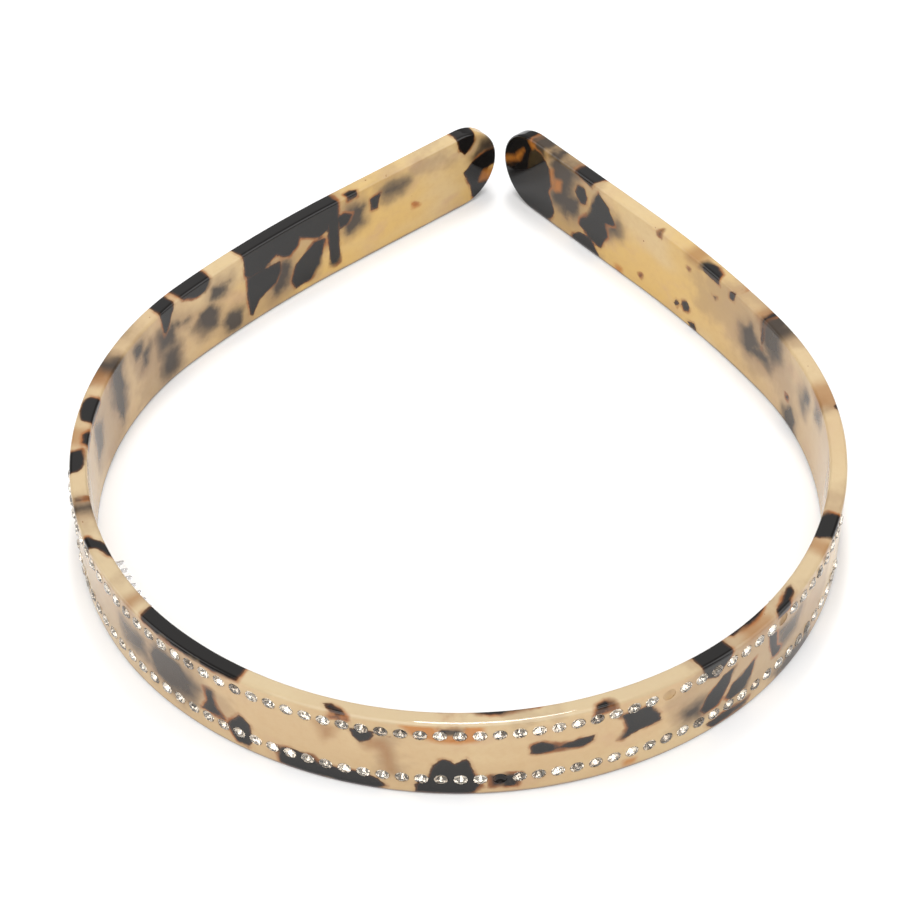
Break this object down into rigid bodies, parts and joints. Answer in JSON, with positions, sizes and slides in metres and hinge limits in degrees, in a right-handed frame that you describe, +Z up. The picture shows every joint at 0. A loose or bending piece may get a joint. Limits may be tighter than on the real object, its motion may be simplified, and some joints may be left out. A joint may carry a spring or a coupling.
{
  "type": "headband",
  "caption": "Open-backed rigid acetate headband with tortoiseshell pattern, two rows of set crystals over the front and a clear grip comb inside each temple.",
  "frame": {"origin": "on the plane that the lower edge rests on, under the middle of the whole object", "axes": "+Z up across the width of the band, the front of the band at -Y, the two tips at +Y, +X to the right of a viewer who faces the front"},
  "size_m": [0.1308, 0.1526, 0.017],
  "materials": {
    "acetate": "polished tortoiseshell, honey with dark brown flecks",
    "crystal": "faceted, foil backed",
    "clear_comb": "clear, moulded"
  },
  "bodies": {
    "crown": {"band_crown": "acetate", "upper_crystals_front": "crystal", "upper_crystals_left": "crystal", "upper_crystals_right": "crystal", "lower_crystals_front": "crystal", "lower_crystals_left": "crystal", "lower_crystals_right": "crystal", "left_comb": "clear_comb", "right_comb": "clear_comb"},
    "left_arm": {"band_left_arm": "acetate"},
    "right_arm": {"band_right_arm": "acetate"}
  },
  "joints": [
    {"name": "left_flex", "type": "hinge", "parent": "crown", "child": "left_arm", "pos_m": [-0.06528, -0.01795, 0.0085], "axis": [0, 0, 1], "range_deg": [0, 25], "stiffness_Nm_per_rad": 0.33},
    {"name": "right_flex", "type": "hinge", "parent": "crown", "child": "right_arm", "pos_m": [0.06528, -0.01795, 0.0085], "axis": [0, 0, -1], "range_deg": [0, 25], "stiffness_Nm_per_rad": 0.33}
  ]
}
